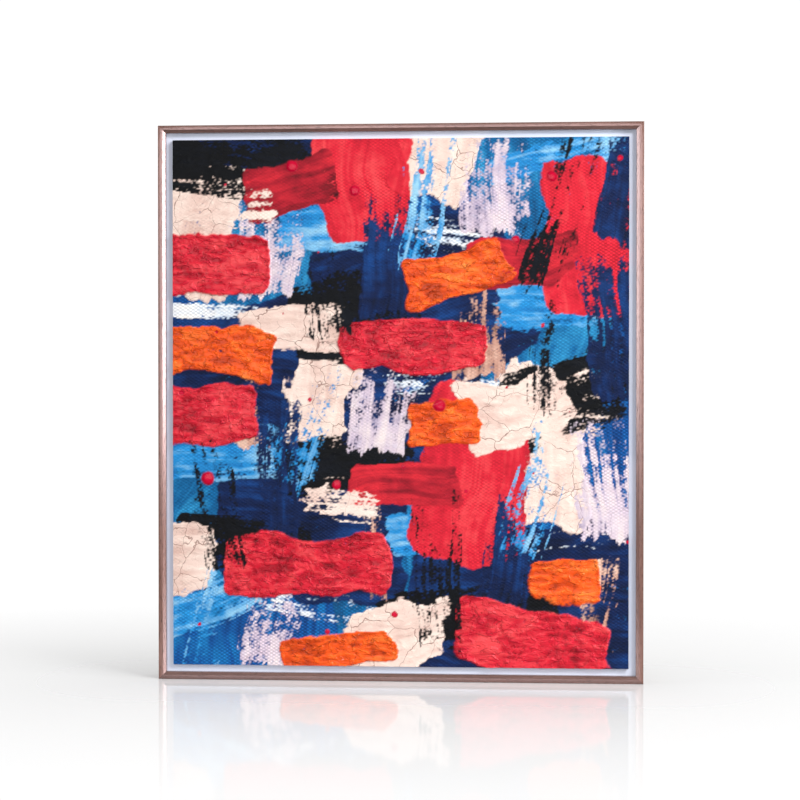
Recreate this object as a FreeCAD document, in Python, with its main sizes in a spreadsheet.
import FreeCAD, Part
import math
import os

import Sketcher

# A floating frame: a slim mitred wooden moulding round a painted panel that stands
# off a pale mount board, with an even gap all round it.
# Millimetres. +X is to the right seen from the front, -Y is the front, +Z is up.
# The origin is on the floor, under the middle of the frame.

# ---------------------------------------------------------------- driving dimensions
DIMENSIONS = {
    # moulding
    "outer_width": 702.0,
    "outer_height": 805.0,
    "rail_depth": 45.0,
    "face_width": 10.6,
    "flat_width": 6.2,
    "bevel_depth": 4.0,
    "lip_depth": 11.0,
    "wall_thickness": 6.3,
    "edge_ease": 0.6,
    # painted panel and what it floats on
    "art_width": 660.0,
    "art_height": 763.0,
    "art_setback": 5.0,
    "canvas_front": 1.0,
    "canvas_skin": 0.5,
    "canvas_return": 20.0,
    "panel_thickness": 3.0,
    "riser_width": 25.0,
    "riser_inset": 45.0,
    "mount_board_thickness": 3.0,
    "board_clearance": 0.5,
    # strainer and back panel
    "strainer_width": 32.0,
    "strainer_depth": 25.0,
    "rebate_width": 8.0,
    "back_panel_thickness": 3.0,
    "back_panel_clearance": 1.0,
    # turn buttons
    "button_length": 28.0,
    "button_width": 10.0,
    "button_thickness": 1.6,
    "button_edge": 0.4,
    "button_lift": 0.3,
    "button_pivot_inset": 15.0,
    "button_spread_x": 170.0,
    "button_spread_z": 130.0,
    "pivot_clearance": 0.06,
    # hangers
    "hanger_inset": 13.0,
    "hanger_height": 640.0,
    "strap_width": 12.0,
    "strap_thickness": 1.2,
    "strap_length": 50.0,
    "strap_screw_near": 24.0,
    "strap_screw_far": 42.0,
    "ring_wire": 2.5,
    "ring_half_width": 9.25,
    "ring_corner": 3.0,
    "ring_leg": 6.0,
    "ring_lift": 2.9,
    "loop_clearance": 0.08,
    # fixings
    "screw_radius": 2.0,
    "head_radius": 3.7,
    "head_height": 2.0,
    "hook_screw_length": 16.0,
    "recess_width": 0.9,
    "recess_length": 4.2,
    "recess_depth": 1.2,
    "strainer_screw_length": 35.0,
    "strainer_screw_sink": 2.0,
    "strainer_screw_spread": 240.0,
    "v_nail_inset": 2.6,
    "v_nail_leg": 5.0,
    "v_nail_thickness": 0.6,
    "v_nail_length": 12.0,
    "v_nail_sink": 0.5,
    # felt pads that keep the back off the wall
    "pad_radius": 3.0,
    "pad_thickness": 1.5,
    "pad_inset": 25.0,
    # how far a cutting shape runs past the wood it cuts
    "overcut": 1.0,
}

doc = FreeCAD.newDocument("FloatingFrame")
sheet = doc.addObject("Spreadsheet::Sheet", "Dims")
for row, (alias, size) in enumerate(DIMENSIONS.items(), start=1):
    sheet.set(f"A{row}", alias)
    sheet.set(f"B{row}", str(size))
    sheet.setAlias(f"B{row}", alias)
doc.recompute()


class Dim:
    """A length with its value and the spreadsheet expression that drives it."""

    def __init__(self, value, text):
        self.value = value
        self.text = text

    def _join(self, other, sign, value):
        other = as_dim(other)
        return Dim(value, f"({self.text} {sign} {other.text})")

    def __add__(self, other):
        return self._join(other, "+", self.value + as_dim(other).value)

    def __radd__(self, other):
        return as_dim(other) + self

    def __sub__(self, other):
        return self._join(other, "-", self.value - as_dim(other).value)

    def __rsub__(self, other):
        return as_dim(other) - self

    def __mul__(self, other):
        return self._join(other, "*", self.value * as_dim(other).value)

    def __rmul__(self, other):
        return as_dim(other) * self

    def __truediv__(self, other):
        return self._join(other, "/", self.value / as_dim(other).value)

    def __neg__(self):
        return 0.0 - self


def as_dim(value):
    return value if isinstance(value, Dim) else Dim(float(value), repr(float(value)))


class D:
    """Every driving dimension by name, as a Dim."""


for alias, size in DIMENSIONS.items():
    setattr(D, alias, Dim(size, f"Dims.{alias}"))

# ---------------------------------------------------------------- reference lines
FRONT = (D.rail_depth + D.pad_thickness) * -0.5
BACK = FRONT + D.rail_depth
HALF_W = D.outer_width / 2
BOARD_FRONT = FRONT + D.lip_depth
BOARD_BACK = BOARD_FRONT + D.mount_board_thickness
STRAINER_BACK = BOARD_BACK + D.strainer_depth
PANEL_FRONT = FRONT + D.art_setback + D.canvas_front
PANEL_BACK = PANEL_FRONT + D.panel_thickness
MID_Z = D.outer_height / 2

X, Y, Z = FreeCAD.Vector(1, 0, 0), FreeCAD.Vector(0, 1, 0), FreeCAD.Vector(0, 0, 1)
QUARTER_TURN = math.pi / 2
NAILS_PER_MITRE = 2
nodes = []


def drive(obj, prop, dim):
    obj.setExpression(prop, as_dim(dim).text)


def node(obj, name):
    """Name a finished piece, and list it for writing out."""
    obj.Label = name
    nodes.append(obj)
    return obj


def place(obj, position, rotation=None):
    if rotation is not None:
        obj.Placement = FreeCAD.Placement(FreeCAD.Vector(), rotation)
    for axis, dim in zip("xyz", position):
        drive(obj, f"Placement.Base.{axis}", dim)
    return obj


def box(name, low, high):
    """A board from its low corner to its high corner."""
    obj = doc.addObject("Part::Box", name)
    for prop, a, b in zip(("Length", "Width", "Height"), low, high):
        drive(obj, prop, as_dim(b) - a)
    return place(obj, low)


def cylinder(name, radius, height, position, rotation=None):
    obj = doc.addObject("Part::Cylinder", name)
    drive(obj, "Radius", radius)
    drive(obj, "Height", height)
    return place(obj, position, rotation)


def cut(name, base, tool):
    obj = doc.addObject("Part::Cut", name)
    obj.Base = base
    obj.Tool = tool
    return obj


def fuse(name, shapes):
    obj = doc.addObject("Part::MultiFuse", name)
    obj.Shapes = shapes
    return obj


def group(name, links):
    """Identical loose pieces kept as separate solids in one node."""
    obj = doc.addObject("Part::Compound", name)
    obj.Links = links
    return obj


def sketch_on(body, name, role):
    sketch = body.newObject("Sketcher::SketchObject", name)
    plane = next(f for f in body.Origin.OriginFeatures if f.Role == role)
    sketch.AttachmentSupport = [(plane, "")]
    sketch.MapMode = "FlatFace"
    return sketch


def pin_point(sketch, geometry, end, point):
    """Hold one end of a line at a driven distance from the sketch's origin."""
    for kind, dim in zip(("DistanceX", "DistanceY"), point):
        dim = as_dim(dim)
        index = sketch.addConstraint(Sketcher.Constraint(kind, -1, 1, geometry, end, dim.value))
        sketch.setExpression(f"Constraints[{index}]", dim.text)


def polygon(sketch, points):
    """A closed outline through driven points."""
    first = sketch.GeometryCount
    ends = [FreeCAD.Vector(as_dim(a).value, as_dim(b).value, 0) for a, b in points]
    count = len(ends)
    for i in range(count):
        sketch.addGeometry(Part.LineSegment(ends[i], ends[(i + 1) % count]), False)
    for i in range(count):
        following = first + (i + 1) % count
        sketch.addConstraint(Sketcher.Constraint("Coincident", first + i, 2, following, 1))
    for i, point in enumerate(points):
        pin_point(sketch, first + i, 1, point)


# ---------------------------------------------------------------- mitred bars
def mitred_bar(name, side, section, half_width, low, high, reach):
    """One side of a mitred rectangle.

    section is a list of (inward, depth) points: how far in from the rectangle's
    edge, and how far behind the front of the moulding. reach is at least as far
    in as the bar goes.
    """
    body = doc.addObject("PartDesign::Body", f"{name}_body")
    profile = sketch_on(body, f"{name}_section", "XY_Plane" if side in ("left", "right") else "YZ_Plane")
    pad = body.newObject("PartDesign::Pad", f"{name}_length")
    pad.Profile = profile
    if side in ("left", "right"):
        sign = -1.0 if side == "left" else 1.0
        polygon(profile, [((half_width - u) * sign, FRONT + v) for u, v in section])
        drive(profile, "AttachmentOffset.Base.z", low)
        drive(pad, "Length", high - low)
    else:
        edge, sign = (high, -1.0) if side == "top" else (low, 1.0)
        polygon(profile, [(FRONT + v, edge + u * sign) for u, v in section])
        pad.SideType = "Symmetric"
        drive(pad, "Length", half_width * 2)

    mitre = sketch_on(body, f"{name}_mitres", "XZ_Plane")
    over = D.overcut
    if side in ("left", "right"):
        sign = -1.0 if side == "left" else 1.0
        outer = (half_width + over) * sign
        inner = (half_width - reach) * sign
        polygon(mitre, [(outer, high + over), (inner, high + over), (inner, high - reach)])
        polygon(mitre, [(outer, low - over), (inner, low - over), (inner, low + reach)])
    else:
        edge, sign = (high, -1.0) if side == "top" else (low, 1.0)
        tip = edge - over * sign
        root = edge + reach * sign
        for end in (-1.0, 1.0):
            outer = (half_width + over) * end
            inner = (half_width - reach) * end
            polygon(mitre, [(outer, tip), (outer, root), (inner, root)])
    saw = body.newObject("PartDesign::Pocket", f"{name}_mitre_cut")
    saw.Profile = mitre
    saw.SideType = "Symmetric"
    saw.Type = "ThroughAll"
    body.Tip = saw
    return body


MOULDING = [
    (D.edge_ease, 0.0),
    (D.flat_width, 0.0),
    (D.face_width, D.bevel_depth),
    (D.face_width, D.lip_depth),
    (D.wall_thickness, D.lip_depth),
    (D.wall_thickness, D.rail_depth),
    (0.0, D.rail_depth),
    (0.0, D.edge_ease),
]
STRAINER_TOP = D.lip_depth + D.mount_board_thickness
STRAINER_BOTTOM = STRAINER_TOP + D.strainer_depth
STRAINER = [
    (0.0, STRAINER_TOP),
    (D.strainer_width, STRAINER_TOP),
    (D.strainer_width, STRAINER_BOTTOM - D.back_panel_thickness),
    (D.strainer_width - D.rebate_width, STRAINER_BOTTOM - D.back_panel_thickness),
    (D.strainer_width - D.rebate_width, STRAINER_BOTTOM),
    (0.0, STRAINER_BOTTOM),
]
SIDES = ("top", "bottom", "left", "right")
rail_reach = D.face_width + D.overcut
strainer_reach = D.strainer_width + D.overcut
inside_half = HALF_W - D.wall_thickness
rails = {
    side: mitred_bar(f"rail_{side}", side, MOULDING, HALF_W, as_dim(0.0), D.outer_height, rail_reach)
    for side in SIDES
}
bars = {
    side: mitred_bar(
        f"strainer_{side}", side, STRAINER, inside_half,
        D.wall_thickness, D.outer_height - D.wall_thickness, strainer_reach,
    )
    for side in SIDES
}

# ---------------------------------------------------------------- V-nails in the mitres
v_nails = []
for ix, sx in enumerate((-1.0, 1.0)):
    for iz, (edge, sz) in enumerate(((as_dim(0.0), 1.0), (D.outer_height, -1.0))):
        for layer in range(NAILS_PER_MITRE):
            tag = f"v_nail_{ix}{iz}{layer}"
            near = BACK - D.v_nail_sink - (D.v_nail_length + D.v_nail_sink) * float(layer)
            far = near - D.v_nail_length
            start_x = (HALF_W - D.v_nail_inset) * sx
            start_z = edge + D.v_nail_inset * sz
            leg_x = start_x - D.v_nail_leg * sx
            leg_z = start_z + D.v_nail_leg * sz
            thick_x = start_x - D.v_nail_thickness * sx
            thick_z = start_z + D.v_nail_thickness * sz
            legs = []
            for part, (ax, az) in enumerate(((leg_x, thick_z), (thick_x, leg_z))):
                xs = (ax, start_x) if sx > 0 else (start_x, ax)
                zs = (start_z, az) if sz > 0 else (az, start_z)
                legs.append(box(f"{tag}_leg{part}", (xs[0], far, zs[0]), (xs[1], near, zs[1])))
            v_nails.append(fuse(tag, legs))
corner_v_nails = node(group("corner_v_nail_set", v_nails), "corner_v_nails")
nailed_rails = {side: cut(f"rail_{side}_nailed", rails[side], corner_v_nails) for side in SIDES}

# ---------------------------------------------------------------- painted panel on its risers
art_x = D.art_width / 2
art_low = MID_Z - D.art_height / 2
art_high = MID_Z + D.art_height / 2
skin = D.canvas_skin
wrap = box(
    "canvas_wrap",
    (-art_x, PANEL_FRONT - D.canvas_front, art_low),
    (art_x, PANEL_BACK + skin, art_high),
)
panel_low = (skin - art_x, PANEL_FRONT, art_low + skin)
panel_high = (art_x - skin, PANEL_BACK, art_high - skin)
core = box("canvas_core", panel_low, panel_high)
window = box(
    "canvas_window",
    (D.canvas_return - art_x, PANEL_BACK - skin, art_low + D.canvas_return),
    (art_x - D.canvas_return, PANEL_BACK + skin + D.overcut, art_high - D.canvas_return),
)
node(cut("canvas_sheet", wrap, fuse("canvas_hollow", [core, window])), "canvas")
node(box("art_board", panel_low, panel_high), "art_panel")

riser_x = art_x - D.riser_inset
riser_low = art_low + D.riser_inset
riser_high = art_high - D.riser_inset
riser_w = D.riser_width
for name, x0, x1, z0, z1 in (
    ("riser_top", -riser_x, riser_x, riser_high - riser_w, riser_high),
    ("riser_bottom", -riser_x, riser_x, riser_low, riser_low + riser_w),
    ("riser_left", -riser_x, riser_w - riser_x, riser_low + riser_w, riser_high - riser_w),
    ("riser_right", riser_x - riser_w, riser_x, riser_low + riser_w, riser_high - riser_w),
):
    node(box(f"{name}_strip", (x0, PANEL_BACK, z0), (x1, BOARD_FRONT, z1)), name)

inset = D.wall_thickness + D.board_clearance
board_low = (inset - HALF_W, BOARD_FRONT, inset)
board_high = (HALF_W - inset, BOARD_BACK, D.outer_height - inset)
node(box("mount_sheet", board_low, board_high), "mount_board")


# ---------------------------------------------------------------- screws
def facing(direction, along):
    """Turn local +Z to direction and local +X to along."""
    return FreeCAD.Rotation(along, direction.cross(along), direction, "ZXY")


def pan_screw(name, position, length):
    """A pan-head screw driven forwards; position is the middle of its seat."""
    back = facing(Y, X)
    x, seat, z = position
    head = cylinder(f"{name}_head", D.head_radius, D.head_height, (x, seat, z), back)
    shank = cylinder(f"{name}_shank", D.screw_radius, length, (x, seat - length, z), back)
    solid = fuse(f"{name}_blank", [head, shank])
    top = seat + D.head_height
    long_half, thin_half = D.recess_length / 2, D.recess_width / 2
    arms = [
        box(
            f"{name}_recess{i}",
            (x - a, top - D.recess_depth, z - b),
            (x + a, top + D.overcut, z + b),
        )
        for i, (a, b) in enumerate(((long_half, thin_half), (thin_half, long_half)))
    ]
    return cut(name, solid, fuse(f"{name}_recess", arms))


def sunk_screw(name, start, direction):
    """A countersunk screw from the middle of its head's top, driven along direction."""
    outward = facing(direction * -1.0, Y)
    cone = doc.addObject("Part::Cone", f"{name}_head")
    drive(cone, "Radius1", D.screw_radius)
    drive(cone, "Radius2", D.head_radius)
    drive(cone, "Height", D.head_height)
    shank = doc.addObject("Part::Cylinder", f"{name}_shank")
    drive(shank, "Radius", D.screw_radius)
    drive(shank, "Height", D.strainer_screw_length - D.head_height)
    for part, depth in ((cone, D.head_height), (shank, D.strainer_screw_length)):
        shift = [as_dim(s) + depth * d for s, d in zip(start, direction)]
        place(part, shift, outward)
    return fuse(name, [cone, shank])


screw_y = BOARD_BACK + D.strainer_depth / 2
screw_u = D.wall_thickness + D.strainer_width - D.strainer_screw_sink
strainer_screws = []
strainer_bores = []
for side, direction in (("left", -X), ("right", X), ("bottom", -Z), ("top", Z)):
    for i, offset in enumerate((D.strainer_screw_spread * -1.0, D.strainer_screw_spread)):
        tag = f"strainer_screw_{side}{i}"
        if side in ("left", "right"):
            sign = -1.0 if side == "left" else 1.0
            start = ((HALF_W - screw_u) * sign, screw_y, MID_Z + offset)
        else:
            start = (offset, screw_y, screw_u if side == "bottom" else D.outer_height - screw_u)
        strainer_screws.append(sunk_screw(tag, start, direction))
        outward = facing(direction * -1.0, Y)
        mouth = cylinder(f"{tag}_mouth", D.head_radius, D.strainer_screw_sink + D.overcut, start, outward)
        strainer_bores.append(mouth)
strainer_screw_set = node(group("strainer_screw_set", strainer_screws), "strainer_screws")

# ---------------------------------------------------------------- turn buttons
button_low = D.wall_thickness + D.button_pivot_inset
button_seat = STRAINER_BACK + D.button_lift
button_x = HALF_W - button_low
BUTTONS = (
    ("top_left", -D.button_spread_x, D.outer_height - button_low, -Z),
    ("top_right", D.button_spread_x, D.outer_height - button_low, -Z),
    ("bottom_left", -D.button_spread_x, button_low, Z),
    ("bottom_right", D.button_spread_x, button_low, Z),
    ("left_upper", -button_x, MID_Z + D.button_spread_z, X),
    ("left_lower", -button_x, MID_Z - D.button_spread_z, X),
    ("right_upper", button_x, MID_Z + D.button_spread_z, -X),
    ("right_lower", button_x, MID_Z - D.button_spread_z, -X),
)


def turn_button(name, x, z, inward):
    """A flat oblong plate that turns on a hole near one end."""
    body = doc.addObject("PartDesign::Body", f"{name}_body")
    outline = sketch_on(body, f"{name}_outline", "XY_Plane")
    radius = D.button_width / 2
    run = D.button_length - D.button_width
    r, far = radius.value, run.value
    pivot, tip = FreeCAD.Vector(0, 0, 0), FreeCAD.Vector(far, 0, 0)
    edges = (
        Part.LineSegment(FreeCAD.Vector(0, -r, 0), FreeCAD.Vector(far, -r, 0)),
        Part.ArcOfCircle(Part.Circle(tip, Z, r), -QUARTER_TURN, QUARTER_TURN),
        Part.LineSegment(FreeCAD.Vector(far, r, 0), FreeCAD.Vector(0, r, 0)),
        Part.ArcOfCircle(Part.Circle(pivot, Z, r), QUARTER_TURN, 3 * QUARTER_TURN),
    )
    for edge in edges:
        outline.addGeometry(edge, False)
    hole = outline.addGeometry(Part.Circle(pivot, Z, D.screw_radius.value), False)
    for i in range(len(edges)):
        outline.addConstraint(Sketcher.Constraint("Tangent", i, 2, (i + 1) % len(edges), 1))
    outline.addConstraint(Sketcher.Constraint("Coincident", 3, 3, -1, 1))
    outline.addConstraint(Sketcher.Constraint("Coincident", hole, 3, -1, 1))
    outline.addConstraint(Sketcher.Constraint("PointOnObject", 1, 3, -1))
    for kind, refs, dim in (
        ("Radius", (3,), radius),
        ("DistanceX", (-1, 1, 1, 3), run),
        ("Radius", (hole,), D.screw_radius + D.pivot_clearance),
    ):
        index = outline.addConstraint(Sketcher.Constraint(kind, *refs, dim.value))
        outline.setExpression(f"Constraints[{index}]", dim.text)
    plate = body.newObject("PartDesign::Pad", f"{name}_plate")
    plate.Profile = outline
    drive(plate, "Length", D.button_thickness)
    doc.recompute()
    middle = D.button_thickness.value / 2
    rim = [
        f"Edge{i}" for i, edge in enumerate(plate.Shape.Edges, start=1)
        if edge.BoundBox.ZMin > middle and max(edge.BoundBox.XLength, edge.BoundBox.YLength) > r
    ]
    eased = body.newObject("PartDesign::Fillet", f"{name}_eased")
    eased.Base = (plate, rim)
    drive(eased, "Radius", D.button_edge)
    body.Tip = eased
    place(body, (x, button_seat, z), facing(Y, inward))
    return node(body, name)


button_screws = []
for where, x, z, inward in BUTTONS:
    turn_button(f"turn_button_{where}", as_dim(x), z, inward)
    seat = button_seat + D.button_thickness + D.button_lift
    grip = D.button_lift * 2 + D.button_thickness + D.hook_screw_length
    button_screws.append(pan_screw(f"button_screw_{where}", (as_dim(x), seat, z), grip))
button_screw_set = node(group("button_screw_set", button_screws), "turn_button_screws")

# ---------------------------------------------------------------- strap hangers with D rings
hanger_screws = []
hanger_pairs = []
pivot_y = STRAINER_BACK + D.ring_lift
for side, sign in (("left", -1.0), ("right", 1.0)):
    hx = (HALF_W - D.wall_thickness - D.hanger_inset) * sign
    half = D.strap_width / 2
    along = facing(X, Y)
    plate_front = STRAINER_BACK
    plate_back = STRAINER_BACK + D.strap_thickness
    foot_z = D.hanger_height - D.strap_length
    wire_r = D.ring_wire / 2
    bore_r = wire_r + D.loop_clearance
    roll_r = bore_r + D.strap_thickness
    end = (hx - half, pivot_y, D.hanger_height)
    plate = box(
        f"strap_{side}_plate",
        (hx - half, plate_front, foot_z), (hx + half, plate_back, D.hanger_height),
    )
    foot = cylinder(f"strap_{side}_foot", half, D.strap_thickness, (hx, plate_front, foot_z), facing(Y, X))
    roll = cylinder(f"strap_{side}_roll", roll_r, D.strap_width, end, along)
    bore = cylinder(
        f"strap_{side}_bore", bore_r, D.strap_width + D.overcut * 2,
        (hx - half - D.overcut, pivot_y, D.hanger_height), along,
    )
    blank = fuse(f"strap_{side}_blank", [plate, foot, roll])
    rolled = cut(f"strap_{side}_rolled", blank, bore)
    for i, drop in enumerate((D.strap_screw_near, D.strap_screw_far)):
        seat = (hx, plate_back, D.hanger_height - drop)
        grip = D.strap_thickness + D.hook_screw_length
        hanger_screws.append(pan_screw(f"hanger_screw_{side}{i}", seat, grip))
    hanger_pairs.append((side, hx, rolled))
hanger_screw_set = node(group("hanger_screw_set", hanger_screws), "hanger_screws")


def d_ring(name, x):
    """A wire ring: straight through the strap's roll, round at the far end."""
    body = doc.addObject("PartDesign::Body", f"{name}_body")
    path = sketch_on(body, f"{name}_path", "XZ_Plane")
    half, corner, leg = D.ring_half_width, D.ring_corner, D.ring_leg
    w, k, low = half.value, corner.value, -leg.value
    v = FreeCAD.Vector
    edges = (
        Part.LineSegment(v(0, 0, 0), v(w - k, 0, 0)),
        Part.ArcOfCircle(Part.Circle(v(w - k, -k, 0), Z, k), 0, QUARTER_TURN),
        Part.LineSegment(v(w, -k, 0), v(w, low, 0)),
        Part.ArcOfCircle(Part.Circle(v(0, low, 0), Z, w), 2 * QUARTER_TURN, 4 * QUARTER_TURN),
        Part.LineSegment(v(-w, low, 0), v(-w, -k, 0)),
        Part.ArcOfCircle(Part.Circle(v(k - w, -k, 0), Z, k), QUARTER_TURN, 2 * QUARTER_TURN),
        Part.LineSegment(v(k - w, 0, 0), v(0, 0, 0)),
    )
    for edge in edges:
        path.addGeometry(edge, False)
    for joint in ((0, 2, 1, 2), (1, 1, 2, 1), (2, 2, 3, 2), (3, 1, 4, 1), (4, 2, 5, 2), (5, 1, 6, 1)):
        path.addConstraint(Sketcher.Constraint("Tangent", *joint))
    path.addConstraint(Sketcher.Constraint("Coincident", 0, 1, -1, 1))
    path.addConstraint(Sketcher.Constraint("Coincident", 6, 2, -1, 1))
    path.addConstraint(Sketcher.Constraint("Horizontal", 0))
    path.addConstraint(Sketcher.Constraint("Horizontal", 6))
    path.addConstraint(Sketcher.Constraint("Vertical", 2))
    path.addConstraint(Sketcher.Constraint("PointOnObject", 3, 3, -2))
    for kind, refs, dim in (
        ("Radius", (1,), corner),
        ("Radius", (5,), corner),
        ("Radius", (3,), half),
        ("DistanceY", (3, 3, -1, 1), leg),
    ):
        index = path.addConstraint(Sketcher.Constraint(kind, *refs, dim.value))
        path.setExpression(f"Constraints[{index}]", dim.text)
    wire = sketch_on(body, f"{name}_wire", "YZ_Plane")
    wire_radius = D.ring_wire / 2
    wire.addGeometry(Part.Circle(v(0, 0, 0), Z, wire_radius.value), False)
    wire.addConstraint(Sketcher.Constraint("Coincident", 0, 3, -1, 1))
    index = wire.addConstraint(Sketcher.Constraint("Radius", 0, wire_radius.value))
    wire.setExpression(f"Constraints[{index}]", wire_radius.text)
    sweep = body.newObject("PartDesign::AdditivePipe", f"{name}_sweep")
    sweep.Profile = wire
    sweep.Spine = (path, [f"Edge{i}" for i in range(1, len(edges) + 1)])
    body.Tip = sweep
    place(body, (x, pivot_y, D.hanger_height))
    return node(body, name)


for side, hx, rolled in hanger_pairs:
    node(cut(f"strap_{side}_drilled", rolled, hanger_screw_set), f"hanger_strap_{side}")
    d_ring(f"hanger_ring_{side}", hx)

# ---------------------------------------------------------------- drilled strainer and back panel
screw_mouths = fuse("strainer_screw_mouths", strainer_bores)
for side in SIDES:
    opened = cut(f"strainer_{side}_mouths", bars[side], screw_mouths)
    sunk = cut(f"strainer_{side}_sunk", opened, strainer_screw_set)
    pivoted = cut(f"strainer_{side}_pivots", sunk, button_screw_set)
    node(cut(f"strainer_{side}_hung", pivoted, hanger_screw_set), f"strainer_{side}")
    node(cut(f"rail_{side}_drilled", nailed_rails[side], strainer_screw_set), f"rail_{side}")

panel_inset = D.wall_thickness + D.strainer_width - D.rebate_width + D.back_panel_clearance
node(
    box(
        "back_sheet",
        (panel_inset - HALF_W, STRAINER_BACK - D.back_panel_thickness, panel_inset),
        (HALF_W - panel_inset, STRAINER_BACK, D.outer_height - panel_inset),
    ),
    "back_panel",
)

# ---------------------------------------------------------------- felt pads
pads = [
    cylinder(
        f"felt_pad_{side}", D.pad_radius, D.pad_thickness,
        ((HALF_W - D.pad_inset) * sign, BACK, D.wall_thickness / 2), facing(Y, X),
    )
    for side, sign in (("left", -1.0), ("right", 1.0))
]
node(group("felt_pad_set", pads), "felt_pads")

# ---------------------------------------------------------------- check and write
doc.recompute()
for obj in doc.Objects:
    if "Invalid" in obj.State or "Error" in obj.State:
        raise RuntimeError(f"{obj.Name}: {obj.State}")
os.makedirs("parts", exist_ok=True)
for obj in nodes:
    shape = obj.Shape
    if shape.isNull() or not shape.isValid() or not shape.Solids:
        raise RuntimeError(f"{obj.Label} has no valid solid")
    shape.exportStep(f"parts/{obj.Label}.step")
    bounds = shape.BoundBox
    print(
        f"{obj.Label:28s} solids {len(shape.Solids):2d}  volume {shape.Volume:11.1f} mm3  "
        f"x {bounds.XMin:8.2f} {bounds.XMax:8.2f}  y {bounds.YMin:7.2f} {bounds.YMax:7.2f}  "
        f"z {bounds.ZMin:7.2f} {bounds.ZMax:7.2f}"
    )
